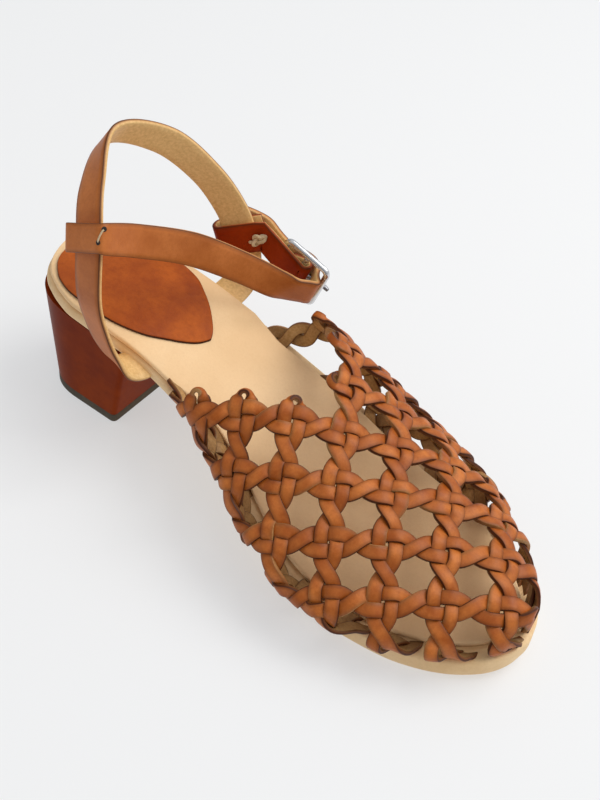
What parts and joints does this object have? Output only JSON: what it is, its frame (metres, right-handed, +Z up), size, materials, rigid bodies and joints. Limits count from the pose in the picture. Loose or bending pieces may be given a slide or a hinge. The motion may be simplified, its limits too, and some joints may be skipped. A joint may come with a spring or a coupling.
{
  "type": "woven block-heel ankle-strap sandal",
  "caption": "Woven leather sandal for the left foot with an open lattice vamp, low back strap, buckled ankle strap and a flared block heel.",
  "frame": {"origin": "on the floor under the middle of the heel", "axes": "+X to the toe, +Y to the outer side of the left foot, +Z up"},
  "size_m": [0.2394, 0.1141, 0.1284],
  "materials": {
    "sole_edge": "smooth pale edge",
    "insole_leather": "matte natural",
    "pad_leather": "matte mottled",
    "heel_block": "polished stain",
    "top_rubber": "matte",
    "woven_leather": "satin",
    "strap_leather": "satin",
    "thong": "matte",
    "buckle_metal": "polished"
  },
  "bodies": {
    "root": {"sole": "sole_edge", "insole": "insole_leather", "heel_pad": "pad_leather", "heel": "heel_block", "top_piece": "top_rubber", "upper": "woven_leather", "back_strap": "strap_leather", "front_strap": "strap_leather", "buckle_strap": "strap_leather", "knot": "thong", "buckle_frame": "buckle_metal", "buckle_prong": "buckle_metal"}
  },
  "joints": []
}
